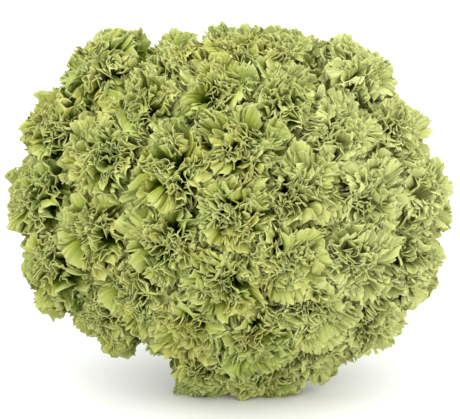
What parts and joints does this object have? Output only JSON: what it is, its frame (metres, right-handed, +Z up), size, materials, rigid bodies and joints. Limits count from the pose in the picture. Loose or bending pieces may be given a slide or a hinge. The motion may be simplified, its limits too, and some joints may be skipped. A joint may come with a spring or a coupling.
{
  "type": "bunch of cut carnations",
  "caption": "Dense bunch of cut pale green carnations lying on its side: a dome of ruffled heads on leafy stems held together by rubber bands.",
  "frame": {"origin": "centre of the bounding box's underside, on the surface that the bunch lies on", "axes": "-Y the way the flowers face, +Y along the stems to their cut ends, +Z up, +X to the right as one looks at the flowers"},
  "size_m": [0.327, 0.4998, 0.2626],
  "materials": {
    "petals": "matte",
    "stems": "satin",
    "bands": "matte"
  },
  "bodies": {
    "root": {"bloom_01": "petals", "bloom_02": "petals", "bloom_03": "petals", "bloom_04": "petals", "bloom_05": "petals", "bloom_06": "petals", "bloom_07": "petals", "bloom_08": "petals", "bloom_09": "petals", "bloom_10": "petals", "bloom_11": "petals", "bloom_12": "petals", "bloom_13": "petals", "bloom_14": "petals", "bloom_15": "petals", "bloom_16": "petals", "bloom_17": "petals", "bloom_18": "petals", "bloom_19": "petals", "bloom_20": "petals", "bloom_21": "petals", "bloom_22": "petals", "bloom_23": "petals", "bloom_24": "petals", "bloom_25": "petals", "bloom_26": "petals", "bloom_27": "petals", "bloom_28": "petals", "bloom_29": "petals", "bloom_30": "petals", "bloom_31": "petals", "bloom_32": "petals", "bloom_33": "petals", "bloom_34": "petals", "bloom_35": "petals", "bloom_36": "petals", "leafy_stem_20": "stems", "leafy_stem_21": "stems", "leafy_stem_22": "stems", "leafy_stem_23": "stems", "leafy_stem_24": "stems", "leafy_stem_25": "stems", "leafy_stem_26": "stems", "leafy_stem_27": "stems", "leafy_stem_28": "stems", "leafy_stem_29": "stems", "leafy_stem_30": "stems", "leafy_stem_31": "stems", "leafy_stem_32": "stems", "leafy_stem_33": "stems", "leafy_stem_34": "stems", "leafy_stem_35": "stems", "leafy_stem_36": "stems", "inner_stems": "stems", "upper_band": "bands", "lower_band": "bands"}
  },
  "joints": []
}
